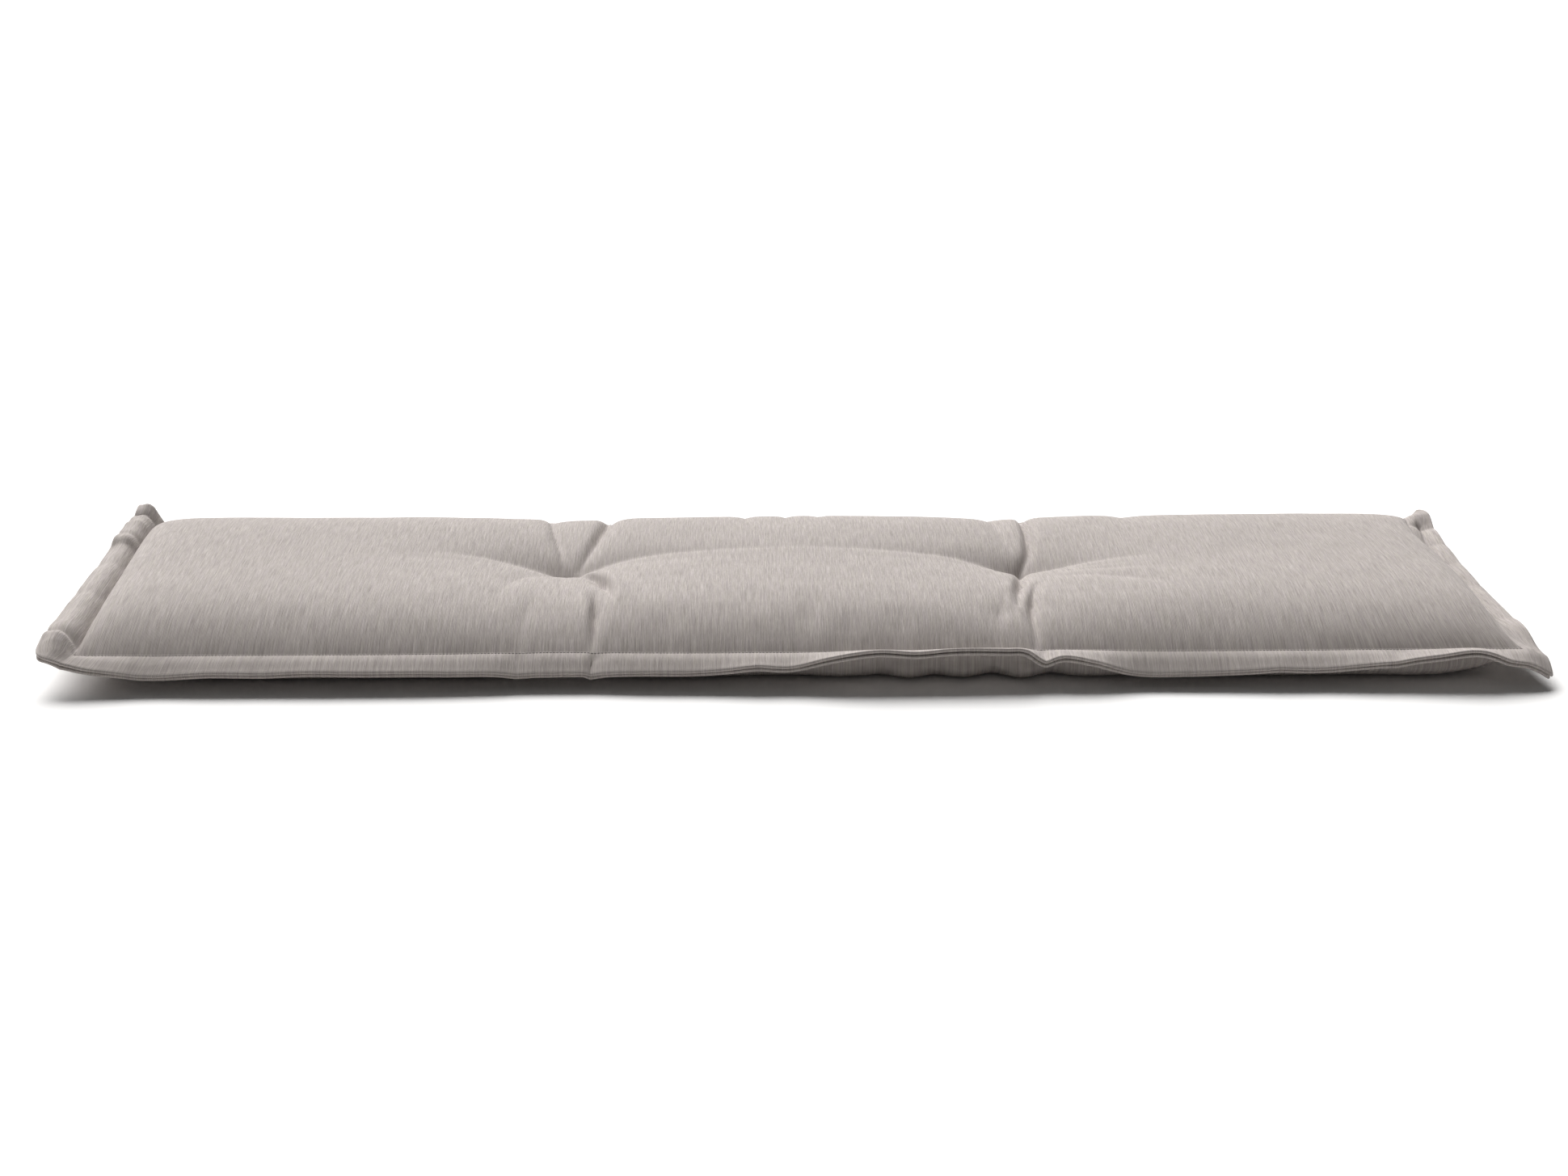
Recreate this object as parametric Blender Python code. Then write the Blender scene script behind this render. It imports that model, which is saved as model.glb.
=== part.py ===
"""A long bench cushion with a flat sewn flange all round and two tufts, lying on its back on a surface.

Metres, +Z up, +X along the cushion and +Y from its front edge to its back edge. The origin is on the
surface that it lies on, under the middle of its footprint. The cover is two panels sewn together at the
rim, turned, and topstitched a flange's width inside it. The filling swells between the topstitching into
one crown, and two tufts pull it in. All of it is one filled solid.
"""

import bisect
import math

import bmesh
import bpy

# The flat, sewn size, and the flange outside the topstitching.
LENGTH = 1.500
WIDTH = 0.500
FLANGE = 0.029

# Heights above the surface, and how the crown rounds off towards the topstitching.
SEAM_HEIGHT = 0.030
CROWN_RISE = 0.034
BELLY_DROP = 0.037
CROWN_POWER = (24.0, 4.5)
CROWN_ROUND = (0.90, 1.00)
BELLY_POWER = (26.0, 7.0)
BELLY_ROUND = (0.60, 0.60)
# A pull on the top fades out over this share of the fullness nearest the topstitching.
PULL_FADE = 0.8

# Half the flange's thickness at the topstitching, over its puffed middle and at the rim.
PINCH_HALF = 0.0013
PUFF_HALF = 0.0036
RIM_HALF = 0.0028
PUFF_POWER = 0.7
SEAM_GROOVE = 0.0016
FLANGE_STEPS = (0.34, 0.70, 1.0)
# How late the flange curls, its arch over the straight line, and how much a curl shortens its reach.
CURL = 1.2
ARCH = 0.002
CURL_SHORTENS = 0.6

# The tufts, on the long centre line at a third of the filled length on each side of the middle.
HALF_LENGTH = LENGTH / 2 - FLANGE
HALF_WIDTH = WIDTH / 2 - FLANGE
TUFT_X = HALF_LENGTH / 3
TUFT_DEPTH = 0.021
TUFT_REACH = (0.085, 0.060)
TUFT_POWER = 1.25
TUFT_BAND_DEPTH = 0.0035
TUFT_BAND_REACH = 0.060
UNDER_TUFT_DEPTH = 0.011
UNDER_TUFT_RADIUS = 0.060
TUFT_DRAW_IN = 0.004
TUFT_DRAW_REACH = 0.090

# Mesh spacing over the filled part: (distance from the middle, spacing) pairs, blended between.
COLUMN_SPACING = (
    (0.00, 0.026), (0.16, 0.022), (0.21, 0.010), (0.27, 0.010),
    (0.33, 0.024), (0.64, 0.026), (0.68, 0.010), (0.73, 0.007),
)
ROW_SPACING = ((0.0, 0.009), (0.04, 0.013), (0.10, 0.021), (0.17, 0.019), (0.23, 0.008))

# Height of the rim over the topstitching, as the flange curls up or droops along each side.
# Each row is (place along the side, lift), both in metres; places run from -X to +X or from -Y to +Y.
FRONT_LIFT = (
    (-0.750, 0.003), (-0.720, 0.006), (-0.700, -0.002), (-0.650, -0.008), (-0.500, -0.007),
    (-0.310, -0.008), (-0.240, -0.011), (-0.160, -0.008), (-0.070, -0.004), (-0.010, -0.005),
    (0.030, 0.003), (0.080, 0.010), (0.150, 0.010), (0.210, 0.009), (0.245, 0.000),
    (0.265, 0.002), (0.295, -0.004), (0.330, -0.012), (0.385, -0.011), (0.460, -0.008),
    (0.530, -0.005), (0.590, -0.001), (0.630, 0.003), (0.675, 0.006), (0.710, -0.002), (0.750, -0.010),
)
BACK_LIFT = (
    (-0.750, -0.001), (-0.722, -0.011), (-0.560, -0.011), (-0.400, -0.009), (-0.240, -0.012),
    (-0.100, -0.009), (0.060, -0.011), (0.240, -0.013), (0.400, -0.009), (0.560, -0.011),
    (0.722, -0.010), (0.750, -0.001),
)
LEFT_LIFT = (
    (-0.250, 0.013), (-0.205, 0.017), (-0.150, 0.014), (-0.080, 0.015), (0.000, 0.014),
    (0.060, 0.011), (0.100, 0.012), (0.135, 0.018), (0.170, 0.019), (0.205, 0.017), (0.250, 0.015),
)
RIGHT_LIFT = (
    (-0.250, -0.008), (-0.200, -0.009), (-0.168, -0.006), (-0.110, -0.010), (-0.040, -0.011),
    (0.045, -0.013), (0.115, -0.013), (0.165, -0.011), (0.208, -0.006), (0.235, 0.001), (0.250, 0.003),
)

# Creases in the top, one of these rows each: a line of points, its half-width, its depth, and the
# share of that depth at the line's two ends.
CREASE_COLUMNS = ("line", "half_width", "depth", "ends")
CREASE_POWER = 1.5
CREASES = (
    # Between the two tufts, and from each of them outwards.
    (((-0.240, 0.004), (0.000, 0.024), (0.240, 0.004)), 0.016, 0.0040, (1.0, 1.0)),
    (((-0.240, 0.003), (-0.310, 0.018), (-0.400, 0.030)), 0.016, 0.0050, (1.0, 0.0)),
    (((0.240, 0.003), (0.310, 0.004), (0.400, 0.010)), 0.016, 0.0050, (1.0, 0.0)),
    # From the left tuft: two to the back and one to the front.
    (((-0.238, 0.010), (-0.222, 0.100), (-0.212, 0.215)), 0.012, 0.0080, (0.4, 0.7)),
    (((-0.246, 0.020), (-0.262, 0.110), (-0.272, 0.215)), 0.013, 0.0050, (0.2, 0.8)),
    (((-0.236, -0.012), (-0.206, -0.090), (-0.214, -0.215)), 0.012, 0.0065, (0.3, 0.8)),
    # From the right tuft: two to the back and one to the front.
    (((0.240, 0.010), (0.246, 0.100), (0.252, 0.215)), 0.012, 0.0085, (0.6, 0.9)),
    (((0.232, 0.060), (0.222, 0.140), (0.218, 0.215)), 0.012, 0.0055, (0.0, 0.9)),
    (((0.240, -0.010), (0.228, -0.110), (0.240, -0.215)), 0.012, 0.0085, (0.7, 0.7)),
)

CLOTH_COLOUR = (0.50, 0.455, 0.435, 1.0)
CLOTH_ROUGHNESS = 0.9
SHARP_ANGLE = math.radians(60)


def blend(table, place):
    """The value at a place in a table of (place, value) rows, eased from row to row."""
    places = [row[0] for row in table]
    i = min(max(bisect.bisect_right(places, place) - 1, 0), len(table) - 2)
    (start, low), (end, high) = table[i], table[i + 1]
    share = min(max((place - start) / (end - start), 0.0), 1.0)
    return low + (high - low) * share * share * (3 - 2 * share)


def stations(half, spacing):
    """Places from -half to half, symmetrical, as far apart as the spacing table says."""
    steps = []
    place = 0.0
    while place < half:
        step = blend(spacing, place)
        steps.append(step)
        place += step
    scale = half / place
    right = [sum(steps[: i + 1]) * scale for i in range(len(steps))]
    return [-x for x in reversed(right)] + [0.0] + right


def with_flange(inner, half):
    """The stations again, with the flange's own steps outside them on both sides."""
    outer = [half + FLANGE * share for share in FLANGE_STEPS]
    return [-x for x in reversed(outer)] + inner + outer


def swell(u, v, power, roundness):
    """How full the cushion is at a place, from 0 at the topstitching to 1 in the middle."""
    along = 1 - min(abs(u) / HALF_LENGTH, 1.0) ** power[0]
    across = 1 - min(abs(v) / HALF_WIDTH, 1.0) ** power[1]
    return along ** roundness[0] * across ** roundness[1]


def off_line(u, v, line):
    """(distance from a line of points, share of the way along it) at a place."""
    best = (math.inf, 0.0)
    parts = len(line) - 1
    for i in range(parts):
        (ax, ay), (bx, by) = line[i], line[i + 1]
        dx, dy = bx - ax, by - ay
        share = ((u - ax) * dx + (v - ay) * dy) / (dx * dx + dy * dy)
        share = min(max(share, 0.0), 1.0)
        gap = math.hypot(u - ax - share * dx, v - ay - share * dy)
        best = min(best, (gap, (i + share) / parts))
    return best


def crease_depth(u, v):
    """How much all the creases together lower the top."""
    total = 0.0
    for row in CREASES:
        crease = dict(zip(CREASE_COLUMNS, row))
        gap, share = off_line(u, v, crease["line"])
        first, last = crease["ends"]
        strength = first + (last - first) * share
        fall = math.exp(-((gap / crease["half_width"]) ** CREASE_POWER))
        total += crease["depth"] * strength * fall
    return total


def tuft_depth(u, v):
    """How much the two tufts pull the top down, as a dimple with a shallow band to front and back."""
    off = abs(u) - TUFT_X
    reach = math.hypot(off / TUFT_REACH[0], v / TUFT_REACH[1])
    dimple = TUFT_DEPTH * math.exp(-(reach**TUFT_POWER))
    band = TUFT_BAND_DEPTH * math.exp(-((off / TUFT_BAND_REACH) ** 2))
    return dimple + band


def under_tuft(u, v):
    """How much a tuft lifts the underside. It is exactly 0 past its radius, where the cushion rests."""
    reach = math.hypot(abs(u) - TUFT_X, v) / UNDER_TUFT_RADIUS
    return UNDER_TUFT_DEPTH * max(0.0, 1 - reach * reach) ** 2


def body_heights(u, v):
    """(top, bottom) of the filled part at a place inside the topstitching."""
    full = swell(u, v, CROWN_POWER, CROWN_ROUND)
    pulled = tuft_depth(u, v) + crease_depth(u, v)
    top = SEAM_HEIGHT + PINCH_HALF + CROWN_RISE * full - pulled * min(1.0, full / PULL_FADE)
    belly = BELLY_DROP * swell(u, v, BELLY_POWER, BELLY_ROUND)
    bottom = max(0.0, SEAM_HEIGHT - PINCH_HALF - belly)
    return top, bottom + under_tuft(u, v)


def flange_half(share):
    """Half the flange's thickness at a share of the way from the topstitching to the rim."""
    puff = math.sin(math.pi * share) ** PUFF_POWER if share < 1 else 0.0
    straight = PINCH_HALF + (RIM_HALF - PINCH_HALF) * share
    return straight + (PUFF_HALF - straight) * puff


def outward(beyond, lift):
    """(run, rise) of a flange point that lies this far beyond the topstitching."""
    share = beyond / FLANGE
    rise = lift * share**CURL
    run = math.sqrt(max(beyond**2 - CURL_SHORTENS * rise**2, 0.0))
    return run, rise + ARCH * math.sin(math.pi * share)


def place(u, v):
    """(x, y, height of the middle plane, flange share) of a place on the flat cover."""
    past_x = max(abs(u) - HALF_LENGTH, 0.0)
    past_y = max(abs(v) - HALF_WIDTH, 0.0)
    end_lift = blend(RIGHT_LIFT if u > 0 else LEFT_LIFT, v)
    side_lift = blend(BACK_LIFT if v > 0 else FRONT_LIFT, u)
    run_x, rise_x = outward(past_x, end_lift)
    run_y, rise_y = outward(past_y, side_lift)
    near_tuft = math.exp(-(((abs(u) - TUFT_X) / TUFT_DRAW_REACH) ** 2))
    drawn = TUFT_DRAW_IN * near_tuft * (abs(v) / HALF_WIDTH) ** 2
    x = math.copysign(min(abs(u), HALF_LENGTH) + run_x, u)
    y = math.copysign(min(abs(v), HALF_WIDTH) + run_y - drawn, v)
    return x, y, SEAM_HEIGHT + rise_x + rise_y, max(past_x, past_y) / FLANGE


def surface_points(u, v):
    """The top and bottom points of the cushion at a place on the flat cover."""
    x, y, middle, share = place(u, v)
    if share > 0:
        half = flange_half(share)
        return (x, y, middle + half), (x, y, middle - half)
    top, bottom = body_heights(u, v)
    return (x, y, top), (x, y, bottom)


def rim_ring(columns, rows):
    """The grid places round the rim, in order, as (column, row) numbers."""
    last_c, last_r = len(columns) - 1, len(rows) - 1
    ring = [(i, 0) for i in range(last_c)]
    ring += [(last_c, j) for j in range(last_r)]
    ring += [(i, last_r) for i in range(last_c, 0, -1)]
    ring += [(0, j) for j in range(last_r, 0, -1)]
    return ring


def add_panel(bm, columns, rows, side):
    """One cover panel as a grid of quads: side 0 is the top and 1 the bottom."""
    grid = {}
    for i, u in enumerate(columns):
        for j, v in enumerate(rows):
            grid[i, j] = bm.verts.new(surface_points(u, v)[side])
    for i in range(len(columns) - 1):
        for j in range(len(rows) - 1):
            corners = [grid[i, j], grid[i + 1, j], grid[i + 1, j + 1], grid[i, j + 1]]
            bm.faces.new(corners if side == 0 else corners[::-1])
    return grid


def add_rim(bm, columns, rows, top, bottom):
    """The rim between the two panels, with the groove of their seam half-way down it."""
    ring = rim_ring(columns, rows)
    groove = []
    for i, j in ring:
        middle = (top[i, j].co + bottom[i, j].co) / 2
        middle.x -= math.copysign(SEAM_GROOVE, middle.x) * (i in (0, len(columns) - 1))
        middle.y -= math.copysign(SEAM_GROOVE, middle.y) * (j in (0, len(rows) - 1))
        groove.append(bm.verts.new(middle))
    for k, here in enumerate(ring):
        n = (k + 1) % len(ring)
        after = ring[n]
        bm.faces.new([top[after], top[here], groove[k], groove[n]])
        bm.faces.new([groove[n], groove[k], bottom[here], bottom[after]])


def centre_footprint(bm):
    """Moves the solid so that the origin is under the middle of its footprint."""
    for axis in (0, 1):
        values = [vertex.co[axis] for vertex in bm.verts]
        middle = (min(values) + max(values)) / 2
        for vertex in bm.verts:
            vertex.co[axis] -= middle


def cloth_material():
    material = bpy.data.materials.new("grey_taupe_cloth")
    material.use_nodes = True
    shader = material.node_tree.nodes["Principled BSDF"]
    shader.inputs["Base Color"].default_value = CLOTH_COLOUR
    shader.inputs["Roughness"].default_value = CLOTH_ROUGHNESS
    shader.inputs["Metallic"].default_value = 0.0
    return material


def make_cushion():
    columns = with_flange(stations(HALF_LENGTH, COLUMN_SPACING), HALF_LENGTH)
    rows = with_flange(stations(HALF_WIDTH, ROW_SPACING), HALF_WIDTH)
    bm = bmesh.new()
    top = add_panel(bm, columns, rows, 0)
    bottom = add_panel(bm, columns, rows, 1)
    add_rim(bm, columns, rows, top, bottom)
    centre_footprint(bm)
    mesh = bpy.data.meshes.new("cushion")
    bm.to_mesh(mesh)
    bm.free()
    mesh.shade_smooth()
    mesh.set_sharp_from_angle(angle=SHARP_ANGLE)
    mesh.materials.append(cloth_material())
    cushion = bpy.data.objects.new("cushion", mesh)
    bpy.context.scene.collection.objects.link(cushion)


for old in list(bpy.data.objects):
    bpy.data.objects.remove(old)
make_cushion()
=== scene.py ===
"""The looks of a long bench cushion: a two-panel cover with a topstitched flange, two tufts and chine cloth.

Metres, +X along the cushion, +Y from its front edge to its back edge. The cover is one closed mesh on the
places of the flat cut cloth, (u, v), which the functions below raise into the filled, tufted form.
"""

import math

import bmesh
import bpy
import numpy as np
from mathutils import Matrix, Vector, noise


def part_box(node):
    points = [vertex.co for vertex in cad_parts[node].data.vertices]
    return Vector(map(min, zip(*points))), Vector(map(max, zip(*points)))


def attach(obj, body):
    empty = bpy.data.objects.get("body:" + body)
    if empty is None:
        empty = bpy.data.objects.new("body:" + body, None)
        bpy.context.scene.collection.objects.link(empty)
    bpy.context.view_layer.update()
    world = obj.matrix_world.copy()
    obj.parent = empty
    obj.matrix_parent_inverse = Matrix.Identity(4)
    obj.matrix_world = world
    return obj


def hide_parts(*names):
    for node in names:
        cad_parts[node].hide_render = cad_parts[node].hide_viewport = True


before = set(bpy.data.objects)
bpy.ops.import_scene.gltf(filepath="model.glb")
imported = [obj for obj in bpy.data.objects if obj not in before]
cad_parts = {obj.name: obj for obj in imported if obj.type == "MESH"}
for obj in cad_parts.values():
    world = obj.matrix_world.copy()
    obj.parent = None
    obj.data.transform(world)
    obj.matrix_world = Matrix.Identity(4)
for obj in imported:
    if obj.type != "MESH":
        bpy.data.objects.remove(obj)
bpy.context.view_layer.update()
CAD_LOW, CAD_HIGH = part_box("cushion")

# Driving sizes, from the frame and as in the sewn cover.
FLANGE = 0.029
HALF_LENGTH = (CAD_HIGH.x - CAD_LOW.x) / 2 - FLANGE
HALF_WIDTH = (CAD_HIGH.y - CAD_LOW.y) / 2 - FLANGE
TOTAL_HEIGHT = CAD_HIGH.z - CAD_LOW.z
SEAM_HEIGHT = 0.030
PINCH_HALF = 0.0018
CROWN_RISE = TOTAL_HEIGHT - SEAM_HEIGHT
BELLY_DROP = 0.038
TUFT_X = HALF_LENGTH / 3

# How the crown and the belly round off towards the topstitching: along the cushion, across it.
CROWN_POWER = (45.0, 4.7)
CROWN_ROUND = (0.50, 1.00)
BELLY_POWER = (13.0, 9.0)
BELLY_ROUND = (0.60, 0.60)

# How far the crown's ends and the belly's front and back swell past the topstitching: the belly from this
# share of the half-width on, and until it is this full.
END_BULGE = 0.005
BELLY_BULGE = 0.009
BELLY_BULGE_START = 0.7
BELLY_BULGE_FULL = 0.9

# How full the cushion is where the pull of the tufts and folds reaches its whole size.
PULL_FADE = 0.8

# The flange's section: half-thickness over its puffed middle and at the rim, the rim's two rolls with the
# seam between them, and the share of the flange over which its thickness turns away from straight up.
PUFF_HALF = 0.0034
PUFF_POWER = 1.0
RIM_HALF = 0.0038
ROLL = 0.0017
ROLL_ANGLES = (55, 20, -20, -60, -85)
SEAM_DEPTH = 0.0020
FLANGE_STEPS = 9
UPRIGHT_SHARE = 0.3
NORMAL_STEP = 0.0006
ON_SEAM = 1e-7

# How late each side's flange curls, its arch over the straight line, and how much a curl shortens it.
CURLS = {"front": 1.1, "back": 1.2, "left": 0.90, "right": 1.3}
ARCHES = {"front": 0.001, "back": 0.002, "left": 0.0105, "right": 0.0030}
ARCH_POWER = 1.7
CURL_SHORTENS = 0.6
LEAST_REACH = 0.2

# Tufts: the dimple and its star shape (2 is round), a shallow band to the front and back of it, and the
# draw on underside and edges.
TUFT_DEPTH = 0.022
TUFT_REACH = (0.094, 0.068)
TUFT_POWER = 0.95
TUFT_STAR = 1.25
TUFT_BAND_DEPTH = 0.0035
TUFT_BAND_REACH = 0.060
UNDER_TUFT_DEPTH = 0.011
UNDER_TUFT_RADIUS = 0.060
TUFT_DRAW_IN = 0.004
TUFT_DRAW_REACH = 0.090

# Mesh spacing over the filled part: (distance from the middle, spacing).
COLUMN_SPACING = (
    (0.00, 0.0052), (0.16, 0.0044), (0.18, 0.0018), (0.29, 0.0018),
    (0.33, 0.0052), (0.66, 0.0056), (0.70, 0.0024), (0.72, 0.0012),
)
ROW_SPACING = ((0.000, 0.0038), (0.150, 0.0038), (0.190, 0.0028), (0.221, 0.0012))
BOTTOM_STEP = 2

# Height of the rim over the topstitching along each side: (place along the side, lift).
FRONT_LIFT = (
    (-0.750, 0.000), (-0.721, 0.001), (-0.702, -0.004), (-0.655, -0.011), (-0.576, -0.011),
    (-0.504, -0.010), (-0.306, -0.012), (-0.243, -0.014), (-0.160, -0.012), (-0.069, -0.009),
    (-0.039, -0.005), (-0.011, -0.007), (0.029, 0.002), (0.078, 0.010), (0.118, 0.008),
    (0.146, 0.010), (0.206, 0.009), (0.226, 0.007), (0.241, -0.002), (0.262, 0.002),
    (0.292, -0.003), (0.331, -0.014), (0.385, -0.015), (0.460, -0.012), (0.529, -0.010),
    (0.592, -0.003), (0.631, 0.002), (0.674, 0.006), (0.711, -0.004), (0.750, -0.010),
)
BACK_LIFT = (
    (-0.750, -0.001), (-0.722, -0.011), (-0.560, -0.011), (-0.400, -0.009), (-0.240, -0.012),
    (-0.100, -0.009), (0.060, -0.011), (0.240, -0.013), (0.400, -0.009), (0.560, -0.011),
    (0.722, -0.014), (0.736, -0.010), (0.750, -0.004),
)
LEFT_LIFT = (
    (-0.250, 0.008), (-0.222, 0.011), (-0.203, 0.016), (-0.150, 0.014), (-0.085, 0.015),
    (-0.023, 0.015), (0.048, 0.012), (0.095, 0.014), (0.112, 0.020), (0.150, 0.019),
    (0.195, 0.017), (0.213, 0.021), (0.250, 0.016),
)
RIGHT_LIFT = (
    (-0.250, -0.010), (-0.197, -0.008), (-0.165, 0.001), (-0.111, -0.002), (-0.044, -0.004),
    (0.045, -0.004), (0.116, -0.001), (0.163, 0.001), (0.208, 0.004), (0.232, 0.009), (0.250, 0.012),
)

# How far the filled part and the rim lie outwards of their straight lines, along each end:
# (place, filled part's shift, rim's shift).
LEFT_SHIFT = (
    (-0.221, -0.008, 0.000), (-0.145, -0.011, 0.000), (-0.045, -0.009, 0.000), (0.075, -0.005, 0.001),
    (0.150, -0.003, 0.002), (0.221, -0.002, 0.002),
)
RIGHT_SHIFT = (
    (-0.221, 0.001, -0.001), (-0.190, -0.009, -0.004), (-0.160, -0.013, -0.006), (-0.085, -0.016, -0.008),
    (0.025, -0.021, -0.010), (0.095, -0.025, -0.012), (0.150, -0.022, -0.012), (0.200, -0.013, -0.010),
    (0.221, -0.011, -0.009),
)
SHIFT_START = 0.45

# How much the flange's corners are drawn in, in the order of (end, side) signs.
CORNER_DRAW = {(-1, -1): 0.20, (1, -1): 0.06, (1, 1): 0.20, (-1, 1): 0.12}

# Folds in the top: a line of (x, y) points, depth (a ridge is negative), half-widths to the line's
# left and right, and the share of the depth at its start, middle and end.
FOLD_COLUMNS = ("line", "depth", "left", "right", "strength")
TOP_FOLDS = (
    # Along the cushion, between and outside the tufts.
    (
        ((-0.235, 0.004), (-0.165, 0.022), (-0.070, 0.028), (0.070, 0.027), (0.170, 0.020), (0.235, 0.002)),
        0.0034, 0.016, 0.010, (1.6, 0.25, 1.6),
    ),
    (
        ((-0.245, 0.002), (-0.290, 0.010), (-0.335, 0.018), (-0.400, 0.026)),
        0.0062, 0.009, 0.026, (1.0, 0.7, 0.0),
    ),
    (((0.245, 0.002), (0.280, 0.000), (0.320, 0.002), (0.400, 0.006)), 0.0066, 0.026, 0.009, (1.0, 0.7, 0.0)),
    (
        ((-0.250, -0.012), (-0.275, -0.034), (-0.293, -0.065), (-0.303, -0.110), (-0.306, -0.150)),
        0.0036, 0.010, 0.018, (0.6, 1.0, 0.2),
    ),
    (
        ((0.272, -0.052), (0.320, -0.060), (0.370, -0.084), (0.410, -0.115)),
        0.0028, 0.014, 0.008, (0.3, 1.0, 0.0),
    ),
    (((0.280, -0.030), (0.330, -0.034), (0.385, -0.044)), 0.0018, 0.010, 0.006, (0.4, 1.0, 0.0)),
    (((0.262, -0.018), (0.320, -0.018), (0.368, -0.020)), 0.0016, 0.008, 0.006, (0.6, 1.0, 0.0)),
    # From the left tuft to the back and the front.
    (
        ((-0.246, 0.020), (-0.252, 0.060), (-0.263, 0.120), (-0.274, 0.215)),
        0.0078, 0.005, 0.013, (0.3, 1.0, 1.0),
    ),
    (
        ((-0.228, 0.020), (-0.219, 0.060), (-0.211, 0.120), (-0.205, 0.215)),
        0.0100, 0.005, 0.010, (0.3, 1.0, 1.6),
    ),
    (
        ((-0.226, -0.006), (-0.208, -0.034), (-0.194, -0.080), (-0.186, -0.128)),
        0.0120, 0.003, 0.011, (0.3, 1.2, 0.2),
    ),
    (((-0.196, -0.030), (-0.184, -0.080), (-0.177, -0.130)), -0.0030, 0.008, 0.006, (0.4, 1.0, 0.4)),
    (((-0.206, -0.105), (-0.203, -0.160), (-0.202, -0.221)), 0.0105, 0.0052, 0.0036, (0.1, 1.1, 1.0)),
    (((-0.214, -0.110), (-0.211, -0.160), (-0.210, -0.221)), -0.0020, 0.004, 0.008, (0.2, 1.0, 0.4)),
    (((-0.268, -0.120), (-0.274, -0.175), (-0.275, -0.221)), 0.0034, 0.010, 0.010, (0.2, 1.0, 1.0)),
    # From the right tuft to the back and the front.
    (
        ((0.243, 0.008), (0.256, 0.050), (0.260, 0.110), (0.264, 0.215)),
        0.0110, 0.0040, 0.0060, (0.6, 1.0, 1.3),
    ),
    (((0.238, 0.045), (0.232, 0.080), (0.228, 0.130), (0.224, 0.215)), 0.0048, 0.010, 0.012, (0.1, 0.8, 1.2)),
    (
        ((0.243, -0.008), (0.238, -0.050), (0.231, -0.100), (0.228, -0.145)),
        0.0115, 0.0056, 0.0042, (0.5, 1.1, 0.2),
    ),
    (((0.232, -0.040), (0.224, -0.095), (0.218, -0.150)), -0.0022, 0.004, 0.008, (0.4, 1.0, 0.2)),
    (
        ((0.252, -0.080), (0.244, -0.120), (0.239, -0.160), (0.240, -0.221)),
        0.0100, 0.0052, 0.0038, (0.2, 1.0, 0.8),
    ),
    (((0.215, -0.120), (0.206, -0.165), (0.200, -0.210)), 0.0034, 0.012, 0.010, (0.2, 1.0, 0.3)),
    # Soft undulations of the front roll and the back edge.
    (((0.016, -0.130), (0.014, -0.180), (0.016, -0.221)), 0.0038, 0.010, 0.014, (0.1, 1.0, 0.5)),
    (((0.056, -0.165), (0.054, -0.195), (0.055, -0.221)), 0.0026, 0.009, 0.010, (0.1, 1.0, 0.6)),
    (((0.110, -0.160), (0.107, -0.192), (0.106, -0.221)), 0.0034, 0.010, 0.014, (0.1, 1.0, 0.6)),
    (((-0.128, -0.150), (-0.130, -0.190), (-0.131, -0.221)), 0.0018, 0.014, 0.012, (0.1, 1.0, 0.6)),
    (((-0.500, -0.150), (-0.503, -0.190), (-0.505, -0.221)), 0.0022, 0.016, 0.012, (0.1, 1.0, 0.6)),
    (((0.430, -0.150), (0.433, -0.190), (0.436, -0.221)), 0.0020, 0.014, 0.016, (0.1, 1.0, 0.6)),
    (((-0.060, -0.150), (-0.056, -0.190), (-0.055, -0.221)), 0.0012, 0.010, 0.010, (0.1, 1.0, 0.4)),
    (((-0.056, 0.215), (-0.047, 0.150), (-0.040, 0.100)), 0.0040, 0.007, 0.007, (1.0, 0.8, 0.0)),
    (((-0.006, 0.215), (-0.004, 0.150), (-0.002, 0.110)), 0.0034, 0.006, 0.006, (1.0, 0.8, 0.0)),
    (((0.036, 0.215), (0.030, 0.150), (0.026, 0.110)), 0.0028, 0.006, 0.006, (1.0, 0.8, 0.0)),
    (((0.372, 0.215), (0.376, 0.150), (0.372, 0.100)), 0.0045, 0.022, 0.010, (1.0, 0.7, 0.0)),
)
TOP_FOLD_POWER = 1.25
FLANGE_FOLD_POWER = 1.5

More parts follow.
